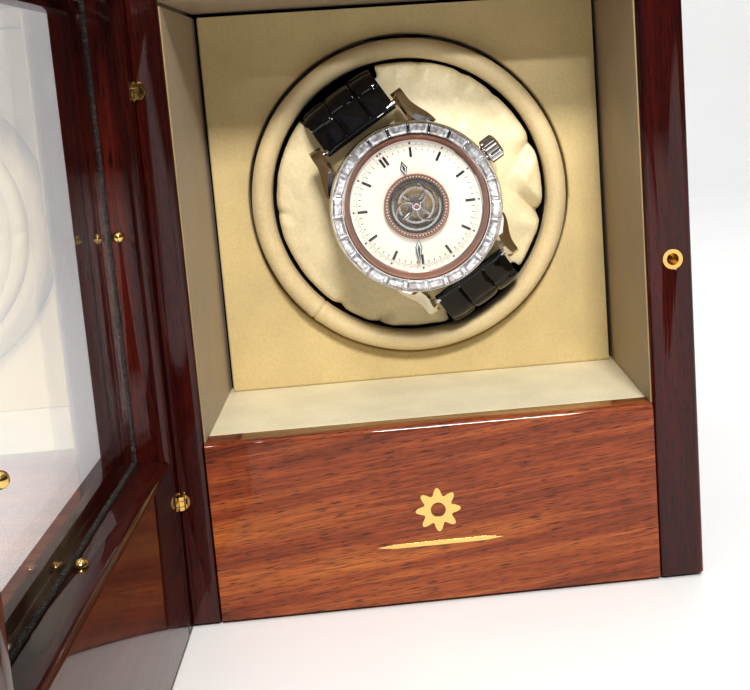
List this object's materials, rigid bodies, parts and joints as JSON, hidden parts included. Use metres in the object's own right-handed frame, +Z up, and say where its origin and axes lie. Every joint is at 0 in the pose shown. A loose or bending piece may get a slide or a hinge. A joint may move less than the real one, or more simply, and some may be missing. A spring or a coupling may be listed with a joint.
{
  "type": "watch winder box",
  "caption": "Lacquered wooden case with a glazed side-hung door, a leather-lined niche and a motor-driven drum that turns a watch on its cushion.",
  "frame": {"origin": "centre of the underside of the felt pad under the case, in the case's own width and depth", "axes": "+Z up, -Y out of the case's front, +X to the right seen from the front; the door is drawn open by 90 degrees"},
  "size_m": [0.1262, 0.2532, 0.1433],
  "materials": {
    "felt": "matt felt",
    "inner_wood": "plain unlacquered wood",
    "mahogany": "high-gloss lacquered dark red-brown mahogany",
    "front_veneer": "high-gloss lacquered orange-brown mahogany with dark pores",
    "gold_leaf": "satin gold",
    "lining": "smooth cream lining",
    "fascia_leather": "padded cream leather",
    "brass": "polished brass",
    "bronze": "sintered bronze",
    "bracket_metal": "zinc-plated",
    "motor_metal": "plated",
    "rubber": "matt",
    "board_green": "solder mask",
    "wire_red": "insulated wire",
    "black_plastic": "fine textured black",
    "screw_steel": "machined",
    "glass": "clear polished",
    "putty": "rough dark putty",
    "cushion_leather": "soft cream leather with fine grain",
    "white_plastic": "moulded",
    "knob_plastic": "moulded black",
    "polished_metal": "mirror polished white metal",
    "gilt_metal": "gilt and brushed",
    "clear_stone": "faceted clear stone",
    "rose_metal": "satin rose-brown",
    "dial_white": "satin off-white",
    "marker_black": "gloss black",
    "strap_leather": "glossy black scaled leather"
  },
  "bodies": {
    "case": {"base_pad": "felt", "bottom_panel": "inner_wood", "side_panel_left": "mahogany", "side_panel_right": "mahogany", "top_panel": "mahogany", "back_panel": "mahogany", "front_base_panel": "front_veneer", "niche_floor_board": "inner_wood", "front_emblem": "gold_leaf", "lining_left": "lining", "lining_right": "lining", "lining_floor": "lining", "lining_ceiling": "lining", "fascia_panel": "fascia_leather", "catch_socket": "brass", "case_hinge_barrels": "brass", "hinge_pins": "brass", "module_bracket": "bracket_metal", "shaft_bush": "bronze", "gearbox": "bracket_metal", "motor_can": "motor_metal", "drive_belt": "rubber", "circuit_board": "board_green", "wiring": "wire_red", "rear_cover": "black_plastic", "cover_screws": "screw_steel", "bracket_screws": "screw_steel", "dc_jack": "black_plastic"},
    "door": {"door_hinge_stile": "mahogany", "door_free_stile": "mahogany", "door_top_rail": "mahogany", "door_bottom_rail": "mahogany", "door_glass": "glass", "glazing_bead": "putty", "glazing_pins": "brass", "door_hinge_barrels": "brass", "door_catch_pin": "brass"},
    "drum": {"drum_ring": "cushion_leather", "drum_cup": "black_plastic", "drum_shaft": "screw_steel", "drum_pulley": "white_plastic"},
    "motor_rotor": {"motor_pulley": "brass"},
    "direction_knob": {"direction_knob": "knob_plastic"},
    "turns_knob": {"turns_knob": "knob_plastic"},
    "power_rocker": {"power_rocker": "knob_plastic"},
    "holder": {"watch_cushion": "cushion_leather", "watch_case": "polished_metal", "watch_movement": "gilt_metal", "watch_bezel": "polished_metal", "bezel_stones": "clear_stone", "flange_ring": "rose_metal", "dial": "dial_white", "dial_markers": "marker_black", "crystal": "glass", "strap_upper": "strap_leather", "strap_lower": "strap_leather"},
    "crown": {"crown": "polished_metal"},
    "hour_disc": {"hour_disc": "glass"},
    "minute_disc": {"minute_disc": "glass"},
    "tourbillon_cage": {"tourbillon_cage": "gilt_metal"}
  },
  "joints": [
    {"name": "door_hinge", "type": "hinge", "parent": "case", "child": "door", "pos_m": [-0.0546, -0.07015, 0.07165], "axis": [0, 0, 1], "range_deg": [0, 90]},
    {"name": "drum_spin", "type": "hinge", "parent": "case", "child": "drum", "pos_m": [0, -0.029, 0.0863], "axis": [0, 1, 0], "continuous": true},
    {"name": "motor_spin", "type": "hinge", "parent": "case", "child": "motor_rotor", "pos_m": [0.03064, 0.02, 0.06059], "axis": [0, 1, 0], "continuous": true},
    {"name": "holder_slide", "type": "slide", "parent": "drum", "child": "holder", "axis": [0, 1, 0], "range_m": [-0.045, 0]},
    {"name": "tourbillon_turn", "type": "hinge", "parent": "holder", "child": "tourbillon_cage", "pos_m": [0.0008, -0.0402, 0.0858], "axis": [0, 1, 0], "continuous": true},
    {"name": "minute_turn", "type": "hinge", "parent": "holder", "child": "minute_disc", "pos_m": [0.0008, -0.0402, 0.0858], "axis": [0, 1, 0], "continuous": true},
    {"name": "hour_turn", "type": "hinge", "parent": "holder", "child": "hour_disc", "pos_m": [0.0008, -0.0402, 0.0858], "axis": [0, 1, 0], "continuous": true},
    {"name": "crown_turn", "type": "hinge", "parent": "holder", "child": "crown", "pos_m": [0.01855, -0.0457, 0.09702], "axis": [0.8453, 0, 0.5344], "continuous": true},
    {"name": "direction_turn", "type": "hinge", "parent": "case", "child": "direction_knob", "pos_m": [-0.022, 0.06, 0.086], "axis": [0, -1, 0], "range_deg": [-45, 45]},
    {"name": "turns_turn", "type": "hinge", "parent": "case", "child": "turns_knob", "pos_m": [-0.004, 0.06, 0.086], "axis": [0, -1, 0], "range_deg": [0, 135]},
    {"name": "power_tilt", "type": "hinge", "parent": "case", "child": "power_rocker", "pos_m": [0.013, 0.06, 0.086], "axis": [-1, 0, 0], "range_deg": [0, 16]}
  ],
  "couplings": [
    {"joint": "motor_spin", "follows": "drum_spin", "ratio": 5},
    {"joint": "minute_turn", "follows": "tourbillon_turn", "ratio": 0.016667},
    {"joint": "hour_turn", "follows": "tourbillon_turn", "ratio": 0.0013889}
  ]
}
